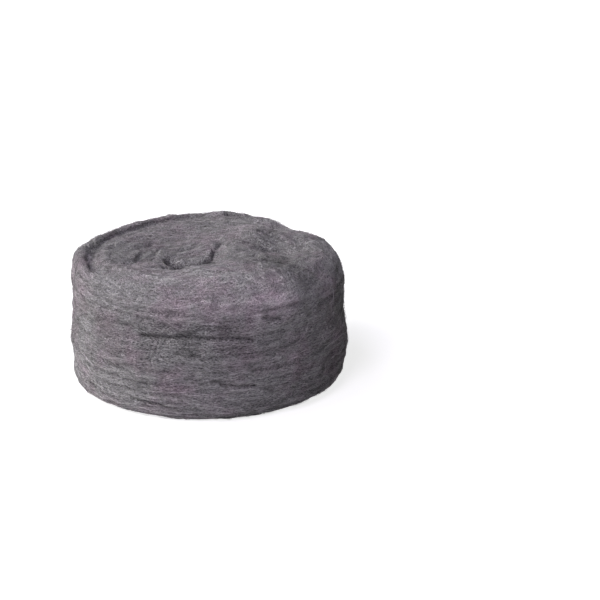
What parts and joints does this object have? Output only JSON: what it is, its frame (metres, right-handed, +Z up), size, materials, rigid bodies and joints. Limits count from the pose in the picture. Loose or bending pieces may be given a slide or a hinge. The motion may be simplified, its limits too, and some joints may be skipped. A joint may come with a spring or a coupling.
{
  "type": "steel wool roll",
  "caption": "Strip of fine steel wool wound into a round, flat-lying roll, with a folded crease at its centre and a torn outer end at the back.",
  "frame": {"origin": "on the ground, at the middle of the roll's footprint", "axes": "+Z up along the winding's axis, the front of the roll (its slumped side) faces -Y, and the torn outer end lies at the back right, towards +X and +Y"},
  "size_m": [0.146, 0.1486, 0.0723],
  "materials": {
    "steel_wool": "soft web of fine dark grey steel fibres with a faint mauve tint, laid along the winding"
  },
  "bodies": {
    "root": {"wool_roll": "steel_wool"}
  },
  "joints": []
}
